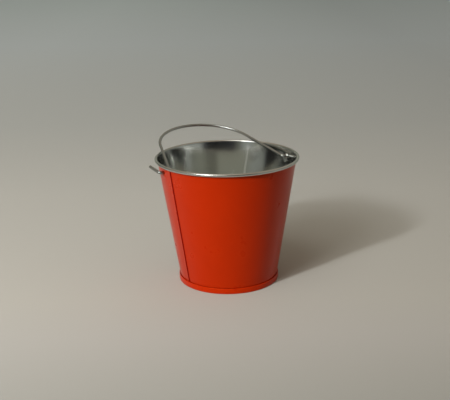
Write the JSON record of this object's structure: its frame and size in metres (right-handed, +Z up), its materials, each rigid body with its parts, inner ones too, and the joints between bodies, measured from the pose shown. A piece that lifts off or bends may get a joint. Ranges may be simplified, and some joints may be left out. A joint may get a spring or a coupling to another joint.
{
  "type": "metal bucket",
  "caption": "Small tapered tinplate bucket with a rolled rim, a grooved side seam, a folded foot seam and a swinging wire bail.",
  "frame": {"origin": "centre of the foot ring, on the surface that the bucket stands on", "axes": "+Z up; +X along the bail's pivot axis; at rest the bail lies back over the rim towards +Y"},
  "size_m": [0.1308, 0.1403, 0.1182],
  "materials": {
    "red_paint": "semi-gloss",
    "bare_tinplate": "bright, rolled",
    "bright_wire": "bright, drawn"
  },
  "bodies": {
    "pail": {"body_sheet": "red_paint", "bottom_pan": "red_paint", "rim_wire": "bare_tinplate"},
    "bail": {"bail_wire": "bright_wire"}
  },
  "joints": [
    {"name": "bail_swing", "type": "hinge", "parent": "pail", "child": "bail", "pos_m": [0, 0, 0.0992], "axis": [1, 0, 0], "range_deg": [0, 154.7]}
  ]
}
